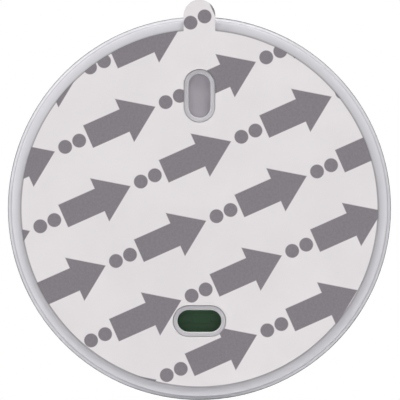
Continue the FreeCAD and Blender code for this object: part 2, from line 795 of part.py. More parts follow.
def battery_door():
    """The flat door over the cell bay, with a tongue at its top and a finger notch below."""
    body = new_body("battery_door")
    sketch = new_sketch(body, level="at.floor_back")
    side = "(at.bay_end - dims.door_gap)"
    add_rectangle(sketch, f"-{side}", side, "at.bay_bottom + dims.door_gap",
                  "at.bay_top - dims.door_gap")
    pad(body, sketch, "dims.door_thick")
    tongue = new_sketch(body, level="at.door_front - dims.tongue_thick")
    add_rectangle(tongue, "-dims.tongue_width / 2", "dims.tongue_width / 2",
                  "at.bay_top - dims.bay_wall", "at.bay_top + dims.tongue_reach")
    pad(body, tongue, "dims.tongue_thick")
    notch = new_sketch(body, level="at.floor_back")
    middle = "at.bay_bottom + dims.door_gap + dims.finger_inset"
    add_obround(notch, "0", middle, "dims.finger_length", "dims.finger_width", False)
    pocket(body, notch, "dims.finger_depth")


ALONG_X = Rotation(Vector(0, 1, 0), 90)
AGAINST_X = Rotation(Vector(0, 1, 0), -90)


def lithium_cell():
    """A round lithium cell that lies across the alarm, its nub to the right."""
    start = "-dims.cell_length / 2"
    where = ("at.cell_y", "at.cell_level")
    can = cylinder("dims.cell_radius", "dims.cell_length - dims.nub_length", start, *where,
                   lean=ALONG_X)
    nub = cylinder("dims.nub_radius", "dims.cell_length", start, *where, lean=ALONG_X)
    piece("lithium_cell", fuse(can, nub))


def cell_contact(label, side):
    """A leaf against the end of the bay, domed to the cell, with a strip to the board."""
    middle = f"{side} * (at.bay_half_length - dims.contact_thick / 2)"
    width = "dims.contact_width"
    leaf = box("dims.contact_thick", width, width, middle, "at.cell_y",
               f"at.cell_level - {width} / 2")
    face = f"{side} * (at.bay_half_length - dims.contact_thick)"
    reach = "dims.contact_room - dims.contact_thick"
    lean = AGAINST_X if side > 0 else ALONG_X
    dimple = cone("dims.nub_radius", "dims.nub_radius / 2", reach, face, "at.cell_y",
                  "at.cell_level", lean)
    low = "(at.parts_line + dims.strip_gap)"
    run = f"(at.cell_y - {low})"
    strip = box("dims.contact_thick", run, "dims.tab_strip", middle, f"{low} + {run} / 2",
                "at.board_front")
    piece(label, fuse(leaf, dimple, strip))


def circuit_board():
    """The round board, cut straight beside the cell bay and round the screw columns."""
    body = new_body("circuit_board")
    sketch = new_sketch(body, level="at.board_back")
    add_circle(sketch, "0", "0", "at.board_radius")
    pad(body, sketch, "dims.board_thick")
    side = new_sketch(body, level="at.board_back")
    add_rectangle(side, "-dims.case_radius", "dims.case_radius", "at.board_edge",
                  "dims.case_radius")
    pocket(body, side, "dims.board_thick")
    notches = new_sketch(body, level="at.board_back")
    add_case_screw_circles(notches, "at.notch_radius")
    pocket(body, notches, "dims.board_thick")
    holes = new_sketch(body, level="at.board_back")
    add_board_screw_circles(holes, "dims.board_screw_radius + dims.screw_gap")
    pocket(body, holes, "dims.board_thick")


def cross_recess(size, across, up, level, depth):
    """The cross that a screwdriver turns."""
    narrow = "dims.cross_width"
    bars = [(size, narrow), (narrow, size)]
    return [box(length, width, depth, across, up, level) for length, width in bars]


def board_screws():
    """Three small screws that hold the board to its posts, heads to the front."""
    screws = []
    for side in ("right", "left", "low"):
        where = (f"at.board_screw_{side}_x", f"at.board_screw_{side}_y")
        head = cylinder("dims.board_screw_head", "dims.board_screw_cap", *where, "at.board_front")
        bite = "dims.board_screw_bite - dims.screw_gap"
        shank = cylinder("dims.board_screw_radius", f"dims.board_thick + {bite}", *where,
                         f"at.board_back - ({bite})")
        depth = "dims.board_screw_cap / 2"
        recess = cross_recess("dims.board_screw_head", *where, f"at.board_front + {depth}", depth)
        screws.append(cut(fuse(head, shank), *recess))
    piece("board_screws", *screws)


def case_screws():
    """Three screws from the back that draw the front cover to the rear housing."""
    screws = []
    for side in ("right", "left", "low"):
        where = (f"at.screw_{side}_x", f"at.screw_{side}_y")
        bottom = "at.seat_level - dims.case_screw_cap"
        head = cylinder("dims.case_screw_head", "dims.case_screw_cap", *where, bottom)
        shank = cylinder("dims.case_screw_radius", "dims.case_screw_length", *where,
                         "at.seat_level")
        recess = cross_recess("dims.case_screw_head", *where, bottom, "dims.case_screw_cap / 2")
        screws.append(cut(fuse(head, shank), *recess))
    piece("case_screws", *screws)


def leaded_chip(length, width, height, across, leads):
    """A flat chip with a row of leads on each long side, one row at the parts line."""
    up = f"at.parts_line - dims.lead_reach - ({width}) / 2"
    items = [box(length, width, height, across, up, "at.board_front")]
    for index in range(leads):
        offset = f"({index} - {(leads - 1) / 2}) * dims.lead_pitch"
        items.append(box("dims.lead_width", f"({width}) + 2 * dims.lead_reach",
                         "dims.lead_thick", f"({across}) + {offset}", up, "at.board_front"))
    return fuse(*items)


def controller_chip():
    """The alarm's controller."""
    sizes = ("dims.chip_length", "dims.chip_width", "dims.chip_height")
    piece("controller_chip", leaded_chip(*sizes, "at.chip_x", 4))


def driver_transistor():
    """The transistor that drives the sounder's coil."""
    sizes = ("dims.transistor_length", "dims.transistor_width", "dims.transistor_height")
    piece("driver_transistor", leaded_chip(*sizes, "at.transistor_x", 3))


def booster_coil():
    """A drum core with its winding, which raises the sounder's voltage."""
    where = ("at.coil_x", "at.parts_line - dims.coil_radius")
    winding = cylinder("dims.coil_radius - dims.coil_waist", "dims.coil_height", *where,
                       "at.board_front")
    low = cylinder("dims.coil_radius", "dims.coil_flange", *where, "at.board_front")
    high = cylinder("dims.coil_radius", "dims.coil_flange", *where,
                    "at.board_front + dims.coil_height - dims.coil_flange")
    piece("booster_coil", fuse(winding, low, high))


def capacitors():
    """Two round capacitors side by side."""
    cans = []
    for index in range(2):
        across = f"dims.capacitor_x - {index} * dims.capacitor_pitch"
        cans.append(cylinder("dims.capacitor_radius", "dims.capacitor_height", across,
                             "at.capacitor_y", "at.board_front"))
    piece("capacitors", *cans)


def chip_resistors():
    """A row of small chip resistors."""
    chips = []
    for index in range(3):
        across = f"at.resistor_x - {index} * dims.resistor_pitch"
        chips.append(box("dims.resistor_width", "dims.resistor_length", "dims.resistor_height",
                         across, "at.parts_line - dims.resistor_length / 2", "at.board_front"))
    piece("chip_resistors", *chips)


def indicator_lamp():
    """The chip lamp under the light pipe."""
    piece("indicator_lamp", box("dims.lamp_length", "dims.lamp_width", "dims.lamp_height",
                                "0", "-at.lamp_drop", "at.board_front"))


def light_pipe():
    """A clear rod from the lamp to the front, with a flange behind the cover."""
    where = ("0", "-at.lamp_drop")
    rod = cylinder("dims.pipe_radius", "at.pipe_front - at.pipe_back", *where, "at.pipe_back")
    flange = cylinder("dims.pipe_flange", "dims.pipe_flange_thick", *where,
                      "at.pipe_shelf - dims.pipe_flange_thick")
    piece("light_pipe", fuse(rod, flange))


def optic_place(turn, distance):
    """A point in the chamber at a distance from its middle, in the direction of turn."""
    return (f"at.chamber_x + ({distance}) * cos({turn})",
            f"at.chamber_y + ({distance}) * sin({turn})")


def chamber_base():
    """The chamber's floor with the holders of the emitter and the photodiode."""
    where = ("at.chamber_x", "at.chamber_y")
    floor = cylinder("dims.chamber_radius - dims.mesh_thick - dims.mesh_gap",
                     "dims.chamber_floor", *where, "at.board_front")
    barrel = "dims.emitter_radius + dims.holder_wall"
    left = "at.chamber_x - at.optic_offset - dims.holder_length / 2"
    block = box("dims.holder_length", f"2 * ({barrel})",
                f"dims.optic_level + dims.chamber_floor / 2 + {barrel}",
                left, "at.chamber_y", "at.board_front + dims.chamber_floor / 2")
    bore = cylinder("dims.emitter_radius + dims.screw_gap", "2 * dims.holder_length",
                    f"{left} - dims.holder_length", "at.chamber_y", "at.optic_height",
                    ALONG_X)
    side = "(dims.diode_side + 2 * dims.shield_wall + 2 * dims.shield_gap)"
    corner = optic_place("180 - dims.optic_angle", "at.optic_offset")
    shelf = box(side, side, f"dims.optic_level + dims.chamber_floor / 2 - {side} / 2",
                *corner, "at.board_front + dims.chamber_floor / 2")
    hole = "dims.pin_side + dims.pin_gap"
    holes = [box(hole, hole, "dims.chamber_floor", *pin, "at.board_front")
             for pin in pin_places()]
    piece("chamber_base", cut(fuse(floor, block, shelf), bore, *holes))


def pin_places():
    """Where the emitter's two pins stand."""
    across = "at.chamber_x - at.optic_offset - dims.holder_length - dims.pin_setback"
    return [(across, f"at.chamber_y + {side} * dims.pin_spread") for side in (-1, 1)]


def infrared_emitter():
    """A small round lamp that looks across the chamber, on two pins from the board."""
    start = "at.chamber_x - at.optic_offset - dims.holder_length - dims.emitter_back"
    bulb = cylinder("dims.emitter_radius", "dims.emitter_length", start, "at.chamber_y",
                    "at.optic_height", ALONG_X)
    items = [bulb]
    for pin in pin_places():
        items.append(box("dims.pin_side", "dims.pin_side", "at.optic_height - at.board_front",
                         *pin, "at.board_front"))
    piece("infrared_emitter", fuse(*items))


def photodiode():
    """The light sensor, off to the side of the emitter's beam."""
    corner = optic_place("180 - dims.optic_angle", "at.optic_offset")
    side = "dims.diode_side"
    level = f"at.optic_height - {side} / 2"
    piece("photodiode", box("dims.diode_thick", side, side, *corner, level))


def photodiode_shield():
    """A tin can, open on the side of the beam, round the photodiode."""
    corner = optic_place("180 - dims.optic_angle", "at.optic_offset")
    inner = "(dims.diode_side + 2 * dims.shield_gap)"
    outer = f"({inner} + 2 * dims.shield_wall)"
    floor = "at.optic_height - dims.diode_side / 2"
    can = box(outer, outer, f"{inner} + dims.shield_wall", *corner, floor)
    hollow = box(inner, inner, inner, *corner, floor)
    window = box("dims.diode_side", "dims.diode_side / 2", f"{inner} - dims.shield_wall",
                 f"{corner[0]} - {outer} / 2", corner[1], floor)
    piece("photodiode_shield", cut(can, hollow, window))


def chamber_cover():
    """The chamber's roof with slanted vanes that keep light out and let smoke in."""
    body = new_body("chamber_cover")
    roof = new_sketch(body, level="at.chamber_top - dims.chamber_roof")
    add_circle(roof, "0", "0", "dims.chamber_radius")
    pad(body, roof, "dims.chamber_roof")
    vane = new_sketch(body, level="at.board_front + dims.chamber_floor")
    lean = ("cos(dims.vane_angle)", "sin(dims.vane_angle)")
    half = "(dims.vane_thick / 2)"
    foot = ("at.vane_outer", "0")
    tip = ("at.vane_tip_x", "at.vane_tip_y")
    corners = []
    for (across, up), way in ((foot, -1), (foot, 1), (tip, 1), (tip, -1)):
        corners.append((f"{across} + {way} * {half} * {lean[1]}",
                        f"{up} + {way} * {half} * {lean[0]}"))
    add_outline(vane, corners)
    height = "at.chamber_top - dims.chamber_roof - at.board_front - dims.chamber_floor"
    vane_pad = pad(body, vane, height)
    polar(body, [vane_pad], "dims.vane_count")
    shift_to_chamber(body)


def shift_to_chamber(body):
    """Moves a body drawn round its own axis to the chamber's axis."""
    body.setExpression("Placement.Base.x", "-at.chamber_x")
    body.setExpression("Placement.Base.z", "at.chamber_y")


def insect_mesh():
    """A thin steel band with square holes round the chamber."""
    body = new_body("insect_mesh")
    low = "at.board_front"
    height = "(at.chamber_top - dims.chamber_roof - at.board_front)"
    band = new_sketch(body, level=low)
    add_circle(band, "0", "0", "dims.chamber_radius")
    add_circle(band, "0", "0", "dims.chamber_radius - dims.mesh_thick")
    pad(body, band, height)
    holes = new_sketch(body, "YZ_Plane", level="dims.chamber_radius - 2 * dims.mesh_thick")
    rows = int(number("dims.mesh_rows"))
    pitch = f"({height} - dims.chamber_floor) / dims.mesh_rows"
    side = f"({pitch} - dims.mesh_bar)"
    width = "(2 * dims.chamber_radius * sin(180 / dims.mesh_columns) - dims.mesh_bar)"
    for row in range(rows):
        start = f"{low} + dims.chamber_floor + {row} * {pitch}"
        add_rectangle(holes, f"-{width} / 2", f"{width} / 2", start, f"{start} + {side}")
    hole_cut = pocket(body, holes, "3 * dims.mesh_thick")
    polar(body, [hole_cut], "dims.mesh_columns")
    shift_to_chamber(body)


SOUNDER = ("at.sounder_x", "at.sounder_y")


def sounder_base():
    """The cup's lower ring, which carries the disc over the board."""
    outer = cylinder("dims.sounder_radius", "dims.sounder_seat", *SOUNDER, "at.board_front")
    room = cylinder("at.disc_radius - dims.sounder_wall", "dims.sounder_seat", *SOUNDER,
                    "at.board_front")
    piece("sounder_base", cut(outer, room))


def sounder_disc():
    """The brass disc that bends and sounds."""
    piece("sounder_disc", cylinder("at.disc_radius", "dims.disc_thick", *SOUNDER,
                                   "at.disc_back"))


def sounder_element():
    """The ceramic layer on the disc."""
    piece("sounder_element", cylinder("at.element_radius", "dims.element_thick", *SOUNDER,
                                      "at.cup_back"))


def sounder_cup():
    """The resonator over the disc, with a neck towards the sound holes."""
    ring = cylinder("dims.sounder_radius", "dims.cup_rise + dims.disc_thick", *SOUNDER,
                    "at.disc_back")
    neck = cylinder("dims.neck_radius", "at.neck_top - at.cup_top + dims.neck_wall", *SOUNDER,
                    "at.cup_top - dims.neck_wall")
    seat = cylinder("at.disc_radius + dims.screw_gap", "dims.disc_thick", *SOUNDER,
                    "at.disc_back")
    room = cylinder("at.disc_radius - dims.sounder_wall", "dims.cup_rise - dims.sounder_wall",
                    *SOUNDER, "at.cup_back")
    throat = cylinder("dims.neck_radius - dims.neck_wall", "at.neck_top - at.cup_back", *SOUNDER,
                      "at.cup_back")
    piece("sounder_cup", cut(fuse(ring, neck), seat, room, throat))


def sounder_springs():
    """Three contact springs, drawn as pins, between the board and the disc."""
    pins = []
    for index in range(3):
        turn = f"{index} * 120"
        reach = "at.element_radius - 2 * dims.spring_radius"
        pins.append(cylinder("dims.spring_radius", "dims.sounder_seat",
                             f"at.sounder_x + ({reach}) * cos({turn})",
                             f"at.sounder_y + ({reach}) * sin({turn})", "at.board_front"))
    piece("sounder_springs", *pins)


def switch_body():
    """The push switch's square case with its blind bore."""
    where = ("dims.switch_x", "dims.switch_y")
    case = box("dims.switch_side", "dims.switch_side", "dims.switch_height", *where,
               "at.board_front")
    depth = "dims.plunger_in + dims.button_travel + dims.plunger_room"
    bore = cylinder("dims.plunger_radius + dims.plunger_fit", depth, *where,
                    f"at.switch_top - ({depth})")
    piece("switch_body", cut(case, bore))


def switch_plunger():
    """The switch's round key, which the button's stem rests on."""
    piece("switch_plunger", cylinder("dims.plunger_radius", "dims.plunger_in + dims.plunger_out",
                                     "dims.switch_x", "dims.switch_y",
                                     "at.switch_top - dims.plunger_in"))


def test_button():
    """The domed round button, with a flange behind the cover and a stem to the switch."""
    body = new_body("test_button")
    profile = new_sketch(body, "XZ_Plane")
    rim = "dims.button_radius"
    corners = [
        ("0", "at.flange_back"),
        ("at.flange_radius", "at.flange_back"),
        ("at.flange_radius", "at.flange_front"),
        (rim, "at.flange_front"),
        (rim, "at.button_face - dims.button_round"),
        ("at.button_shoulder", "at.button_face"),
        ("dims.crown_flat", "dims.case_depth"),
        ("0", "dims.case_depth"),
    ]
    arcs = {4: ("dims.button_round", 1), 5: ("dims.dome_radius", 1)}
    add_outline(profile, corners, arcs)
    revolve(body, profile)
    hollow = new_sketch(body, level="at.flange_back")
    add_circle(hollow, "0", "0", f"{rim} - dims.button_wall")
    pocket(body, hollow, "dims.flange_thick")
    stem = new_sketch(body, level="at.plunger_top")
    add_circle(stem, "dims.switch_x", "dims.switch_y", "dims.stem_radius")
    pad(body, stem, "at.flange_front - at.plunger_top")


def front_cover():
    """The domed front shell with its bosses, inlets, button hole and sound holes."""
    body = new_body("front_cover")
    profile = new_sketch(body, "XZ_Plane")
    rebate = "at.inner_radius + dims.lap_wall + dims.lap_gap"
    rebate_top = "dims.seam_level + dims.lap_length + dims.lap_gap"
    corners = [
        (rebate, "dims.seam_level"),
        ("dims.case_radius", "dims.seam_level"),
        ("dims.case_radius", "at.inlet_low"),
        ("at.groove_radius", "at.inlet_low + dims.inlet_recess / 2"),
        ("at.groove_radius", "at.inlet_high - dims.inlet_recess / 2"),
        ("dims.case_radius", "at.inlet_high"),
        ("dims.case_radius", "at.shoulder_level"),
        ("at.dome_edge_x", "at.dome_edge_z"),
        ("at.hole_radius", "at.hole_face"),
        ("at.hole_radius", "at.hole_inner"),
        ("at.inner_edge_x", "at.inner_edge_z"),
        ("at.inner_radius", "at.shoulder_level"),
        ("at.inner_radius", rebate_top),
        (rebate, rebate_top),
    ]
    arcs = {
        6: ("dims.shoulder_radius", 1),
        7: ("dims.dome_radius", 1),
        9: ("at.dome_inner", -1),
        10: ("dims.shoulder_radius - dims.cover_wall", -1),
    }
    add_outline(profile, corners, arcs)
    revolve(body, profile)
    bosses = new_sketch(body, level="at.column_front")
    add_case_screw_circles(bosses, "dims.boss_radius")
    pad(body, bosses, "at.boss_top - at.column_front")
    pilots = new_sketch(body, level="at.column_front")
    add_case_screw_circles(pilots, "dims.case_screw_radius + dims.screw_gap")
    pocket(body, pilots, "dims.case_screw_length")
    holes = new_sketch(body, level="at.neck_top")
    add_circle(holes, "0", "-at.lamp_drop", "dims.pipe_radius + dims.pipe_fit")
    add_circle(holes, *SOUNDER, "dims.sound_hole")
    for index in range(int(number("dims.sound_count"))):
        turn = f"{index} * 360 / dims.sound_count"
        add_circle(holes, f"at.sounder_x + dims.sound_pitch * cos({turn})",
                   f"at.sounder_y + dims.sound_pitch * sin({turn})", "dims.sound_hole")
    pocket(body, holes, "dims.case_depth - at.neck_top")
    inlet = new_sketch(body, "YZ_Plane", level="at.inner_radius - dims.cover_wall")
    add_obround(inlet, "0", "at.inlet_level", "dims.inlet_height", "dims.inlet_width", True)
    inlet_cut = pocket(body, inlet, "3 * dims.cover_wall")
    polar(body, [inlet_cut], "dims.inlet_count")


PIECES = [
    release_liner,
    adhesive_pad,
    mounting_plate,
    rear_housing,
    battery_door,
    lithium_cell,
    circuit_board,
    board_screws,
    case_screws,
    controller_chip,
    driver_transistor,
    booster_coil,
    capacitors,
    chip_resistors,
    indicator_lamp,
    light_pipe,
    chamber_base,
    infrared_emitter,
    photodiode,
    photodiode_shield,
    chamber_cover,
    insect_mesh,
    sounder_base,
    sounder_disc,
    sounder_element,
    sounder_cup,
    sounder_springs,
    switch_body,
    switch_plunger,
    test_button,
    front_cover,
]


def check_document():
    """Stops if a feature failed, a cut took nothing away or a piece has no valid solid."""
    for item in doc.Objects:
        if "Invalid" in item.State or "Error" in item.State:
            raise RuntimeError(f"{item.Name} failed: {item.State}")
        if item.TypeId == "PartDesign::Pocket":
            taken = item.BaseFeature.Shape.Volume - item.Shape.Volume
            if taken < 1e-3:
                raise RuntimeError(f"{item.Name} cuts nothing")
    for node in nodes:
        shape = node.Shape
        if shape.isNull() or not shape.isValid() or not shape.Solids:
            raise RuntimeError(f"{node.Label} has no valid solid")


def main():
    """Builds every piece, checks the document and writes one file for each piece."""
    for make in PIECES:
        make()
    cell_contact("positive_contact", 1)
    cell_contact("negative_contact", -1)
    doc.recompute()
    check_document()
    os.makedirs("parts", exist_ok=True)
    for node in nodes:
        node.Shape.exportStep(f"parts/{node.Label}.step")
        volume = node.Shape.Volume
        print(f"{node.Label}: {len(node.Shape.Solids)} solid(s), {volume:.2f} mm3")


main()
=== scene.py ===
import math

import bpy
import numpy as np
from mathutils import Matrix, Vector

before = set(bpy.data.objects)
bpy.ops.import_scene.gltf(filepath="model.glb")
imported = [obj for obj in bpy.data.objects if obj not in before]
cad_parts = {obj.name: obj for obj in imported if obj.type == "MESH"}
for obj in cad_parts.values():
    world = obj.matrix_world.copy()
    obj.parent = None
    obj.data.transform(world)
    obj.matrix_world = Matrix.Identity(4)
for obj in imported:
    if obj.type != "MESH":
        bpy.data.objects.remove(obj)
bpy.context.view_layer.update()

MM = 0.001

# Sizes of the real alarm that the finishes follow, in metres. A radius is from the alarm's
# axis, and a level is how deep a place lies behind the liner's outer face.
LINER_RADIUS = 34.95 * MM
TAB_WIDTH = 6.2 * MM
PLATE_RADIUS = 36.85 * MM
CASE_RADIUS = 37.5 * MM
# Where the case's rounded edge ends, round its widest part. A thin dark line of painted shade
# lies round it, which darkens the case's outline.
OUTLINE_SHADE_LEVEL = 4.45 * MM
# Below the collar tops the plate is painted lighter, from the first of these levels to the
# second: painted light in the shaded slots and the trough round the collars.
COLLAR_LIP_LEVELS = (0.28 * MM, 0.38 * MM)
PAST_COLLARS_RADII = (29 * MM, 31 * MM)
COIL_MIDDLE_LEVEL = 11.25 * MM
COIL_HALF_WINDING = 2.2 * MM
CAN_TOP_LEVEL = 15.2 * MM
CAN_PITCH = 5.6 * MM
LAMP_HEIGHT = -15.5 * MM

# The print on the liner stands in the cells of a slanted lattice. Places in a cell are from
# its middle, along the lattice: a dot, the arrow's tail and head, and another dot.
PRINT_SLANT = math.radians(24)
PRINT_CELL_LONG, PRINT_CELL_HIGH = 21.5 * MM, 12.2 * MM
PRINT_SHIFT_ALONG, PRINT_SHIFT_BESIDE = -3.97 * MM, 8.85 * MM
TAIL_MIDDLE, TAIL_HALF_LONG, TAIL_HALF_HIGH = -3.0 * MM, 4.4 * MM, 2.4 * MM
HEAD_BACK, HEAD_TIP, HEAD_SLOPE = 0.4 * MM, 7.0 * MM, math.radians(35)
DOT_MIDDLES, DOT_RADIUS = (-9.3 * MM, 9.2 * MM), 1.35 * MM
INK_EDGE = 0.09 * MM

# The floor takes the shadow out to the first radius, and from the second one on the camera,
# gloss and glass see it as plain white. It lies just so far under the alarm that the lower
# corners of the picture look past its near part.
FLOOR_NEAR = 50 * MM
FLOOR_FAR = 92 * MM
FLOOR_GAP = 1.8 * MM
FLOOR_HALF = 4.0

# The strength of the world's even light
AMBIENT = 0.08

# Each lamp's name, place, width and height, and power in watts
LAMPS = (
    ("right_light", (0.8, -1.5, 1.1), (0.9, 0.9), 7.9),
    ("left_light", (-0.8, -1.5, 1.1), (0.9, 0.9), 4.4),
    ("left_strip", (-1.1, -0.33, 0.72), (0.32, 1.4), 8.0),
    ("top_strip", (0.15, -0.42, 1.35), (1.3, 0.32), 10.8),
    ("right_strip", (1.1, -0.33, 0.8), (0.32, 1.2), 1.7),
    ("front_light", (0.4, 1.8, 0.6), (1.0, 1.0), 18),
)

# The camera looks straight at the back. The square picture has this many pixels a side and
# this width at the liner's outer face, and the alarm's axis lies so many pixels from its
# left and its top. Blender takes the sensor's width in millimetres.
PICTURE_PIXELS = 400
PICTURE_WIDTH = 78.14 * MM
AXIS_ACROSS, AXIS_DOWN = 199.45, 208.4
CAMERA_DISTANCE = 2.0
SENSOR_WIDTH = 36


def srgb(red, green, blue):
    """A colour read off a screen, 0 to 255, as the linear colour that a shader takes."""
    shares = [channel / 255 for channel in (red, green, blue)]
    linear = [s / 12.92 if s <= 0.04045 else ((s + 0.055) / 1.055) ** 2.4 for s in shares]
    return (*linear, 1.0)


WHITE = (1.0, 1.0, 1.0, 1.0)
CASE_WHITE = (srgb(218, 217, 222), srgb(214, 213, 219))
# The grey of painted shade in the corner beside the foam, at the plate's rim and in the
# parting gap
SHADE_GREY = srgb(112, 110, 113)


class Nodes:
    """The node tree of a material or a world. Its methods add nodes, and most of them give
    back an output for the next node to take."""

    def __init__(self, owner):
        self.owner = owner
        owner.use_nodes = True
        self.tree = owner.node_tree
        self.tree.nodes.clear()

    def add(self, kind, **settings):
        node = self.tree.nodes.new(kind)
        for key, setting in settings.items():
            setattr(node, key, setting)
        return node

    def feed(self, socket, source):
        """Joins an output to a socket, or sets a plain number or colour on it."""
        if isinstance(source, bpy.types.NodeSocket):
            self.tree.links.new(source, socket)
        else:
            socket.default_value = source

    def result(self, kind, *sources, **settings):
        """The first output of a node whose inputs are fed in order."""
        node = self.add(kind, **settings)
        for socket, source in zip(node.inputs, sources):
            self.feed(socket, source)
        return node.outputs[0]

    def maths(self, operation, *sources):
        return self.result("ShaderNodeMath", *sources, operation=operation)

    def seen_white(self):
        """One for a ray from the camera, off gloss or through glass, and nought for any
        other."""
        path = self.add("ShaderNodeLightPath").outputs
        gloss = self.maths("MAXIMUM", path["Is Glossy Ray"], path["Is Transmission Ray"])
        return self.maths("MAXIMUM", path["Is Camera Ray"], gloss)

    def mixed(self, share, first, second):
        """Mixes two shaders by a share from 0 to 1."""
        return self.result("ShaderNodeMixShader", share, first, second)

    def end(self, kind, shader):
        """Joins a shader to the tree's end and gives back the material or world."""
        self.feed(self.add(kind).inputs["Surface"], shader)
        return self.owner


class Finish(Nodes):
    """The node tree of one finish. Its patterns follow the place on the piece."""

    def __init__(self, name):
        super().__init__(bpy.data.materials.new(name))
        self.place = self.add("ShaderNodeTexCoord").outputs["Object"]

    def parts(self):
        """How far across, how deep and how far up a place is."""
        node = self.add("ShaderNodeSeparateXYZ")
        self.feed(node.inputs[0], self.place)
        return node.outputs

    def off(self, line, middle):
        """How far a line is from a middle, to either side."""
        return self.maths("ABSOLUTE", self.maths("SUBTRACT", line, middle))

    def span(self, first, second):
        """The root of the sum of two squares: the straight distance over two sides."""
        squares = [self.maths("MULTIPLY", side, side) for side in (first, second)]
        return self.maths("SQRT", self.maths("ADD", *squares))

    def radius(self):
        """Distance from the alarm's axis in the plane of its back."""
        across, _, up = self.parts()
        return self.span(across, up)

    def turned(self, first, second, angle):
        """The first line times the angle's cosine plus the second times its sine."""
        return self.maths("ADD", self.maths("MULTIPLY", first, math.cos(angle)),
                          self.maths("MULTIPLY", second, math.sin(angle)))

    def wave(self, line, length):
        """A sine wave from -1 to 1 along a line, of the given length."""
        return self.maths("SINE", self.maths("MULTIPLY", line, 2 * math.pi / length))

    def noise(self, size, detail=2.0, rough=0.5, place=None):
        """Soft noise from 0 to 1 whose patches are about size across."""
        node = self.add("ShaderNodeTexNoise")
        self.feed(node.inputs["Vector"], self.place if place is None else place)
        node.inputs["Scale"].default_value = 1 / size
        node.inputs["Detail"].default_value = detail
        node.inputs["Roughness"].default_value = rough
        return node.outputs["Fac"]

    def streaks(self, counts, detail=2.0, rough=0.5, turn=0.0):
        """Soft noise drawn out one way: counts are its patches to the metre across, deep and
        up, and turn leans them over in the plane of the back."""
        node = self.add("ShaderNodeMapping")
        self.feed(node.inputs["Vector"], self.place)
        node.inputs["Rotation"].default_value = (0, turn, 0)
        node.inputs["Scale"].default_value = counts
        return self.noise(1.0, detail, rough, node.outputs[0])

    def cells(self, size):
        """How far the nearest point of a random scatter is, as a share of its spacing."""
        node = self.add("ShaderNodeTexVoronoi")
        self.feed(node.inputs["Vector"], self.place)
        node.inputs["Scale"].default_value = 1 / size
        return node.outputs["Distance"]

    def ramp(self, source, start, stop, low=0.0, high=1.0):
        """Carries a source softly from start..stop to low..high, and holds it beyond."""
        node = self.add("ShaderNodeMapRange", interpolation_type="SMOOTHSTEP")
        for name, value in zip(("From Min", "From Max", "To Min", "To Max"),
                               (start, stop, low, high)):
            node.inputs[name].default_value = value
        self.feed(node.inputs["Value"], source)
        return node.outputs["Result"]

    def clouds(self, size, detail=3.0):
        """Faint patches from 0 to 1, by which one shade drifts into another."""
        return self.ramp(self.noise(size, detail), 0.3, 0.7)

    def blend(self, share, first, second):
        """Mixes two colours by a share from 0 to 1."""
        node = self.add("ShaderNodeMix", data_type="RGBA")
        # The Mix node's colour sockets share their names with others, so they go by number.
        for number, source in zip((0, 6, 7), (share, first, second)):
            self.feed(node.inputs[number], source)
        return node.outputs[2]

    def relief(self, height, depth, under=None):
        """A bump of the given real depth from a height from 0 to 1."""
        node = self.add("ShaderNodeBump")
        node.inputs["Distance"].default_value = depth
        self.feed(node.inputs["Height"], height)
        if under is not None:
            self.feed(node.inputs["Normal"], under)
        return node.outputs["Normal"]

    def grain(self, size=0.35 * MM, depth=0.004 * MM):
        """The fine eroded grain that a mould leaves on plastic."""
        return self.relief(self.noise(size, rough=0.6), depth)

    def gloss(self, low, high):
        """A roughness that drifts between two values."""
        return self.ramp(self.noise(3 * MM), 0.2, 0.8, low, high)

    def surface(self, colour, rough, normal, ior=1.5, **fixed):
        """Ends the tree with one principled surface."""
        shader = self.add("ShaderNodeBsdfPrincipled")
        self.feed(shader.inputs["Base Color"], colour)
        self.feed(shader.inputs["Roughness"], rough)
        self.feed(shader.inputs["Normal"], normal)
        shader.inputs["IOR"].default_value = ior
        for name, value in fixed.items():
            shader.inputs[name.replace("_", " ")].default_value = value
        return self.end("ShaderNodeOutputMaterial", shader.outputs[0])


def satin_plastic(name, colour, shade, grain=0.35 * MM):
    """Moulded plastic or fired ceramic: a fine grain and faint flow clouds."""
    finish = Finish(name)
    tone = finish.blend(finish.clouds(14 * MM), colour, shade)
    return finish.surface(tone, finish.gloss(0.285, 0.315), finish.grain(grain))


def plate_plastic():
    """The mounting plate: satin plastic, painted a greyer shade on the slot collars and
    painted lighter below their tops, with painted shade on the ring beside the foam's edge
    and at the plate's own rim."""
    finish = Finish("plate_plastic")
    _, deep, _ = finish.parts()
    cloud = finish.clouds(12 * MM)
    ring = finish.blend(cloud, srgb(220, 219, 224), srgb(216, 215, 220))
    # Painted shade: the collars are a greyer tone for the shade they stand in below the
    # liner. Painted light: from the lip levels down, on their rounded lips, the slot walls
    # and the trough round them, they are lighter, against the shade there.
    collar_shade_and_light = finish.blend(cloud, srgb(193, 191, 195), srgb(189, 187, 191))
    lip_light = finish.ramp(deep, *COLLAR_LIP_LEVELS)
    collar_shade_and_light = finish.blend(lip_light, collar_shade_and_light, srgb(222, 221, 224))
    axis = finish.radius()
    inside = finish.ramp(axis, *PAST_COLLARS_RADII, low=1.0, high=0.0)
    tone = finish.blend(inside, ring, collar_shade_and_light)

    # Painted shade on the ring: a thin dark line and a soft fall-off beside the foam's edge,
    # where the foam's shadow lies, and a darker band at the plate's rim, where the parting
    # gap lies.
    corner = finish.off(axis, LINER_RADIUS)
    line = finish.ramp(corner, 0.05 * MM, 0.3 * MM, low=0.3, high=0.0)
    haze = finish.ramp(corner, 0.05 * MM, 1.5 * MM, low=0.22, high=0.0)
    rim_shade = finish.ramp(axis, PLATE_RADIUS - 0.3 * MM, PLATE_RADIUS - 0.02 * MM, high=0.5)
    painted_shade = finish.maths("MAXIMUM", finish.maths("ADD", line, haze), rim_shade)
    tone = finish.blend(painted_shade, tone, SHADE_GREY)
    return finish.surface(tone, finish.gloss(0.34, 0.44), finish.grain())


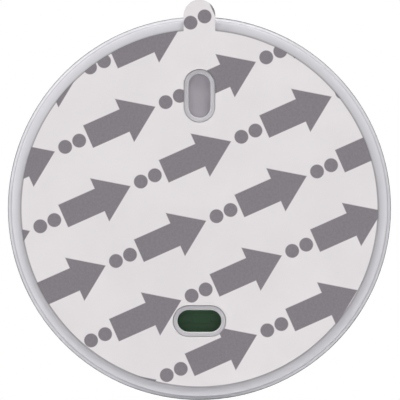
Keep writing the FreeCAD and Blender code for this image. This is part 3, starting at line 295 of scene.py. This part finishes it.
def housing_plastic():
    """The rear housing: the case's plastic, with a thin dark line of painted shade round the
    widest part, where the rounded edge ends, and a faint one beside the plate."""
    finish = Finish("housing_plastic")
    _, deep, _ = finish.parts()
    tone = finish.blend(finish.clouds(14 * MM), *CASE_WHITE)
    # A thin dark line of painted shade round the widest part, which darkens the outline. It
    # is also made rough, so that it shows little gloss.
    line = finish.ramp(finish.off(deep, OUTLINE_SHADE_LEVEL), 0.25 * MM, 0.6 * MM,
                       low=1.0, high=0.0)
    tone = finish.blend(line, tone, srgb(88, 87, 90))
    # A faint line of painted shade beside the plate's edge, where the parting gap lies
    parting_shade = finish.ramp(finish.off(finish.radius(), PLATE_RADIUS), 0.02 * MM, 0.14 * MM,
                          low=0.4, high=0.0)
    tone = finish.blend(parting_shade, tone, SHADE_GREY)
    dull_shade_line = finish.maths("MULTIPLY", line, 0.9)
    rough = finish.maths("MAXIMUM", finish.gloss(0.07, 0.11), dull_shade_line)
    return finish.surface(tone, rough, finish.grain())


def door_plastic():
    """The battery door: grey plastic with a coarser grain and faint slanted scuffs."""
    finish = Finish("door_plastic")
    tone = finish.blend(finish.clouds(6 * MM), srgb(197, 191, 198), srgb(191, 185, 192))
    scuffs = finish.ramp(finish.streaks((900, 900, 120), turn=0.5), 0.66, 0.74, high=0.12)
    tone = finish.blend(scuffs, tone, srgb(208, 206, 210))
    return finish.surface(tone, 0.5, finish.grain(0.28 * MM, 0.008 * MM))


def place_in_cell(finish, across, up):
    """The place along and beside the middle of the lattice cell that it lies in: the plane
    turned by the slant and shifted, each odd row set off by half a cell, and the fraction
    of a cell less one half, times the cell."""
    along = finish.turned(across, up, PRINT_SLANT)
    beside = finish.turned(up, across, -PRINT_SLANT)
    beside = finish.maths("ADD", beside, PRINT_SHIFT_BESIDE)
    row = finish.maths("FLOOR", finish.maths("DIVIDE", beside, PRINT_CELL_HIGH))
    odd = finish.maths("ABSOLUTE", finish.maths("MODULO", row, 2.0))
    along = finish.maths("ADD", along, finish.maths("MULTIPLY", odd, PRINT_CELL_LONG / 2))
    along = finish.maths("ADD", along, PRINT_SHIFT_ALONG)
    places = []
    for line, cell in ((along, PRINT_CELL_LONG), (beside, PRINT_CELL_HIGH)):
        fraction = finish.maths("FRACT", finish.maths("DIVIDE", line, cell))
        places.append(finish.maths("MULTIPLY", finish.maths("SUBTRACT", fraction, 0.5), cell))
    return places


def peel_arrows(finish, across, up):
    """One where the ink of the arrows and dots lies, and nought beside it. Each form gives
    the distance to its edge, below nought inside, and the least of them decides."""
    along, beside = place_in_cell(finish, across, up)
    height = finish.maths("ABSOLUTE", beside)
    flank = finish.turned(height, finish.maths("SUBTRACT", along, HEAD_TIP), HEAD_SLOPE)
    head = finish.maths("MAXIMUM", finish.maths("SUBTRACT", HEAD_BACK, along), flank)
    end = finish.maths("SUBTRACT", finish.off(along, TAIL_MIDDLE), TAIL_HALF_LONG)
    side = finish.maths("SUBTRACT", height, TAIL_HALF_HIGH)
    edge = finish.maths("MINIMUM", head, finish.maths("MAXIMUM", end, side))
    for middle in DOT_MIDDLES:
        away = finish.span(finish.maths("SUBTRACT", along, middle), beside)
        dot = finish.maths("SUBTRACT", away, DOT_RADIUS)
        edge = finish.maths("MINIMUM", edge, dot)
    return finish.ramp(edge, -INK_EDGE, INK_EDGE, low=1.0, high=0.0)


def liner_rim_shade(finish, across, up):
    """One on the thin line of painted shade round the liner's disc, and nought beside it and
    where the tab joins the disc."""
    half = TAB_WIDTH / 2
    outside = finish.ramp(finish.maths("ABSOLUTE", across), half - 0.1 * MM, half + 0.1 * MM)
    below = finish.ramp(up, 0.0, 1 * MM, low=1.0, high=0.0)
    rim_shade = finish.ramp(finish.radius(), LINER_RADIUS - 0.26 * MM, LINER_RADIUS - 0.1 * MM)
    return finish.maths("MULTIPLY", rim_shade, finish.maths("MAXIMUM", outside, below))


def liner_film():
    """The release liner: glossy coated film, faintly rippled and printed with plain peel
    arrows and dots in a duller, slightly mottled ink."""
    finish = Finish("liner_film")
    across, _, up = finish.parts()
    printed = peel_arrows(finish, across, up)
    film = finish.blend(finish.clouds(16 * MM), srgb(228, 224, 225), srgb(224, 220, 222))
    mottle = finish.ramp(finish.noise(0.5 * MM, rough=0.7), 0.3, 0.7, low=0.96)
    ink = finish.maths("MULTIPLY", printed, mottle)
    tone = finish.blend(ink, film, srgb(120, 115, 121))
    # Painted shade: a thin dark line at the disc's cut edge, where shade falls by the foam's
    # edge below
    rim_shade = finish.maths("MULTIPLY", liner_rim_shade(finish, across, up), 0.75)
    tone = finish.blend(rim_shade, tone, srgb(120, 117, 120))

    film_rough, ink_rough = 0.38, 0.5
    rough = finish.maths("MULTIPLY_ADD", printed, ink_rough - film_rough, film_rough)
    ripple = finish.relief(finish.noise(9 * MM, rough=0.4), 0.05 * MM)
    fine = finish.relief(finish.noise(0.6 * MM), 0.003 * MM, under=ripple)
    return finish.surface(tone, rough, fine, ior=1.47)


def foam():
    """Closed-cell foam: round cells, cut open at the edge."""
    finish = Finish("foam")
    bubbles = finish.cells(0.28 * MM)
    # The middle of each cell, a hollow in the bump, is darker: painted shade in the cell
    # hollows
    tone = finish.blend(finish.ramp(bubbles, 0.1, 0.6), srgb(196, 194, 193),
                        srgb(226, 224, 222))
    return finish.surface(tone, 0.85, finish.relief(bubbles, 0.05 * MM), ior=1.4)


def cell_wrap():
    """The cell's printed shrink sleeve: blue with a pale band and fine wrinkles."""
    finish = Finish("cell_wrap")
    across, _, _ = finish.parts()
    band = finish.ramp(finish.off(across, -6 * MM), 3.4 * MM, 3.6 * MM, low=1.0, high=0.0)
    tone = finish.blend(band, srgb(48, 84, 118), srgb(196, 200, 202))
    wrinkles = finish.relief(finish.streaks((400, 1600, 1600)), 0.03 * MM)
    return finish.surface(tone, 0.28, wrinkles, Coat_Weight=0.4)


def metal(name, colour, shade, rough, counts=(300, 300, 6000)):
    """Rolled or plated metal: lines drawn one way over faint clouds."""
    finish = Finish(name)
    drawn = finish.streaks(counts, 3.0, 0.6)
    tone = finish.blend(finish.clouds(2.5 * MM), colour, shade)
    tone = finish.blend(finish.ramp(drawn, 0.35, 0.65, high=0.35), tone, shade)
    rough = finish.ramp(drawn, 0.3, 0.7, rough - 0.06, rough + 0.08)
    return finish.surface(tone, rough, finish.relief(drawn, 0.004 * MM), Metallic=1.0)


def board_mask():
    """The circuit board: dark green mask over copper lanes, with tinned pads and holes."""
    finish = Finish("board_mask")
    across, _, up = finish.parts()
    lanes = finish.add("ShaderNodeTexBrick", offset=0.37, squash=1.6, squash_frequency=3)
    flat_place = finish.result("ShaderNodeCombineXYZ", across, up, 0.0)
    for name, source in {
        "Vector": flat_place,
        "Scale": 1 / (6.4 * MM),
        "Mortar Size": 0.03,
        "Mortar Smooth": 0.3,
        "Color1": srgb(37, 102, 50),
        "Color2": srgb(38, 105, 53),
        "Mortar": srgb(40, 108, 55),
    }.items():
        finish.feed(lanes.inputs[name], source)
    weave = finish.ramp(finish.noise(0.4 * MM, rough=0.7), 0.3, 0.7, high=0.25)
    tone = finish.blend(weave, lanes.outputs["Color"], srgb(44, 104, 58))
    pads = finish.ramp(finish.cells(5.2 * MM), 0.075, 0.09, low=1.0, high=0.0)
    tone = finish.blend(pads, tone, srgb(196, 194, 186))
    height = finish.maths("ADD", lanes.outputs["Fac"], finish.maths("MULTIPLY", pads, 2.0))
    rough = finish.ramp(weave, 0.0, 0.25, 0.3, 0.42)
    return finish.surface(tone, rough, finish.relief(height, 0.02 * MM))


def dark_mould(name, colour, shade, rough):
    """Dark moulded resin: sparkle of fine filler and a soft tonal drift."""
    finish = Finish(name)
    filler = finish.ramp(finish.noise(0.2 * MM, rough=0.7), 0.5, 0.75, high=0.5)
    tone = finish.blend(finish.clouds(4 * MM, 2.0), colour, shade)
    tone = finish.blend(filler, tone, srgb(96, 95, 98))
    return finish.surface(tone, rough, finish.relief(finish.noise(0.2 * MM), 0.006 * MM))


def coil_wire():
    """The booster coil: turns of copper wire between two dark ferrite flanges."""
    finish = Finish("coil_copper")
    _, deep, _ = finish.parts()
    turns = finish.wave(deep, 0.32 * MM)
    flange = finish.ramp(finish.off(deep, COIL_MIDDLE_LEVEL),
                         COIL_HALF_WINDING - 0.05 * MM, COIL_HALF_WINDING)
    # The copper is dark between the turns and bright on their crowns: painted shade and
    # painted highlight over the bump of the turns
    wire = finish.blend(finish.ramp(turns, -1.0, 1.0), srgb(110, 52, 26), srgb(196, 108, 60))
    tone = finish.blend(flange, wire, srgb(44, 43, 45))
    return finish.surface(tone, 0.38, finish.relief(turns, 0.06 * MM))


def can_sleeve():
    """The capacitors: dark sleeves with a bare aluminium top and a pale stripe."""
    finish = Finish("can_aluminium")
    across, deep, _ = finish.parts()
    top = finish.ramp(deep, CAN_TOP_LEVEL - 0.05 * MM, CAN_TOP_LEVEL)
    stripe = finish.ramp(finish.wave(across, CAN_PITCH), 0.82, 0.86)
    sleeve = finish.blend(stripe, srgb(38, 46, 74), srgb(186, 188, 190))
    drawn = finish.clouds(0.3 * MM)
    bare = finish.blend(drawn, srgb(196, 197, 200), srgb(176, 178, 182))
    tone = finish.blend(top, sleeve, bare)
    return finish.surface(tone, 0.35, finish.relief(drawn, 0.005 * MM))


def lamp_resin():
    """The indicator lamp: a pale translucent block with a yellow dot of phosphor."""
    finish = Finish("lamp_resin")
    across, _, up = finish.parts()
    away = finish.span(across, finish.off(up, LAMP_HEIGHT))
    dot = finish.ramp(away, 0.42 * MM, 0.5 * MM, low=1.0, high=0.0)
    tone = finish.blend(dot, srgb(236, 234, 226), srgb(222, 204, 96))
    return finish.surface(tone, 0.3, finish.relief(finish.noise(0.2 * MM), 0.003 * MM))


def clear_rod():
    """The light pipe: clear acrylic, faintly grey-green, with a fine haze at its face."""
    finish = Finish("clear_acrylic")
    haze = finish.noise(0.5 * MM)
    tone = finish.blend(finish.ramp(haze, 0.3, 0.7), srgb(226, 234, 228),
                        srgb(214, 224, 218))
    rough = finish.ramp(haze, 0.2, 0.8, 0.05, 0.14)
    return finish.surface(tone, rough, finish.relief(haze, 0.003 * MM), ior=1.49,
                          Transmission_Weight=0.85)


def floor_paint():
    """The studio floor: pale paint that takes the alarm's shadow near it. Further off, the
    camera, gloss and glass see it as plain white, like the backdrop."""
    finish = Finish("floor_paint")
    paint = finish.blend(finish.noise(60 * MM), srgb(247, 247, 247), srgb(244, 244, 245))
    near = finish.result("ShaderNodeBsdfDiffuse", paint)
    far = finish.result("ShaderNodeEmission", WHITE, 1.0)
    across, deep, _ = finish.parts()
    past = finish.ramp(finish.span(across, deep), FLOOR_NEAR, FLOOR_FAR)
    share = finish.maths("MULTIPLY", past, finish.seen_white())
    return finish.end("ShaderNodeOutputMaterial", finish.mixed(share, near, far))


def studio_world():
    """White to the camera, in gloss and through glass, and a weak even light otherwise."""
    nodes = Nodes(bpy.data.worlds.new("studio"))
    ambient = nodes.result("ShaderNodeBackground", WHITE, AMBIENT)
    white = nodes.result("ShaderNodeBackground", WHITE, 1.0)
    return nodes.end("ShaderNodeOutputWorld", nodes.mixed(nodes.seen_white(), ambient, white))


def show(name, contents):
    """Puts a new object with the given mesh, lamp or camera into the scene."""
    item = bpy.data.objects.new(name, contents)
    bpy.context.scene.collection.objects.link(item)
    return item


def flat_sheet(name, half, level):
    """A square sheet at one height: its corners are the four signs of half."""
    corners = np.array([(-1, -1, 0), (1, -1, 0), (1, 1, 0), (-1, 1, 0)], float) * half
    corners[:, 2] = level
    mesh = bpy.data.meshes.new(name)
    mesh.from_pydata(corners.tolist(), [], [(0, 1, 2, 3)])
    return show(name, mesh)


def soft_lamp(name, place, size, power):
    """A soft light of the given width and height that faces the alarm."""
    lamp = bpy.data.lights.new(name, "AREA")
    lamp.shape = "RECTANGLE"
    lamp.size, lamp.size_y = size
    lamp.energy = power
    item = show(name, lamp)
    item.location = place
    item.rotation_mode = "QUATERNION"
    item.rotation_quaternion = (-Vector(place)).to_track_quat("-Z", "Y")


def picture_camera():
    """A camera whose picture shows the alarm at the photograph's place and size. It stands
    aside by the axis's pixels from the picture's middle times a pixel's width, and its lens
    is the sensor's width times the distance over the picture's width."""
    pixel = PICTURE_WIDTH / PICTURE_PIXELS
    middle = PICTURE_PIXELS / 2
    optics = bpy.data.cameras.new("camera")
    optics.sensor_width = SENSOR_WIDTH
    optics.lens = SENSOR_WIDTH * CAMERA_DISTANCE / PICTURE_WIDTH
    camera = show("camera", optics)
    camera.location = ((middle - AXIS_ACROSS) * pixel, -CAMERA_DISTANCE,
                       (AXIS_DOWN - middle) * pixel)
    camera.rotation_euler = (math.pi / 2, 0, 0)
    return camera


# The finish of each CAD node, by the node's name
finishes = {
    "release_liner": liner_film(),
    "adhesive_pad": foam(),
    "mounting_plate": plate_plastic(),
    "rear_housing": housing_plastic(),
    "front_cover": satin_plastic("case_plastic", *CASE_WHITE),
    "battery_door": door_plastic(),
    "lithium_cell": cell_wrap(),
    "circuit_board": board_mask(),
    "booster_coil": coil_wire(),
    "capacitors": can_sleeve(),
    "indicator_lamp": lamp_resin(),
    "light_pipe": clear_rod(),
    "insect_mesh": metal("mesh_steel", srgb(168, 168, 168), srgb(140, 140, 142), 0.4,
                         (2500, 400, 2500)),
    "test_button": satin_plastic("button_plastic", srgb(218, 217, 221), srgb(214, 213, 218),
                                 0.3 * MM),
    "chip_resistors": dark_mould("chip_ceramic", srgb(40, 40, 42), srgb(52, 50, 50), 0.35),
    "sounder_element": satin_plastic("piezo_ceramic", srgb(214, 210, 196),
                                     srgb(200, 196, 184), 0.2 * MM),
    "switch_body": dark_mould("switch_brown", srgb(66, 54, 48), srgb(56, 46, 42), 0.5),
    "switch_plunger": dark_mould("plunger_plastic", srgb(44, 44, 44), srgb(36, 36, 36), 0.45),
    "photodiode_shield": metal("tin_plate", srgb(198, 198, 196), srgb(170, 170, 168), 0.3),
}
# The finishes that two nodes share
for first, second, finish in (
    ("sounder_disc", "sounder_springs",
     metal("brass_disc", srgb(204, 172, 98), srgb(180, 146, 76), 0.3, (300, 6000, 300))),
    ("controller_chip", "driver_transistor",
     dark_mould("chip_black", srgb(46, 46, 49), srgb(38, 38, 41), 0.45)),
    ("chamber_base", "chamber_cover",
     dark_mould("chamber_black", srgb(34, 34, 36), srgb(28, 28, 30), 0.75)),
    ("infrared_emitter", "photodiode",
     dark_mould("diode_resin", srgb(42, 36, 58), srgb(34, 30, 48), 0.2)),
    ("sounder_base", "sounder_cup",
     dark_mould("sounder_black", srgb(48, 48, 51), srgb(40, 40, 43), 0.5)),
    ("positive_contact", "negative_contact",
     metal("nickel", srgb(206, 203, 196), srgb(182, 179, 172), 0.25)),
    ("board_screws", "case_screws",
     metal("zinc_screw", srgb(200, 202, 206), srgb(168, 172, 180), 0.3, (1500, 300, 1500))),
):
    finishes[first] = finishes[second] = finish

for name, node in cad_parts.items():
    node.data.materials.clear()
    node.data.materials.append(finishes[name])

floor = flat_sheet("studio_floor", FLOOR_HALF, -CASE_RADIUS - FLOOR_GAP)
floor.data.materials.append(floor_paint())

bpy.context.scene.world = studio_world()
for lamp in LAMPS:
    soft_lamp(*lamp)
bpy.context.scene.camera = picture_camera()
bpy.context.scene.view_settings.view_transform = "Standard"
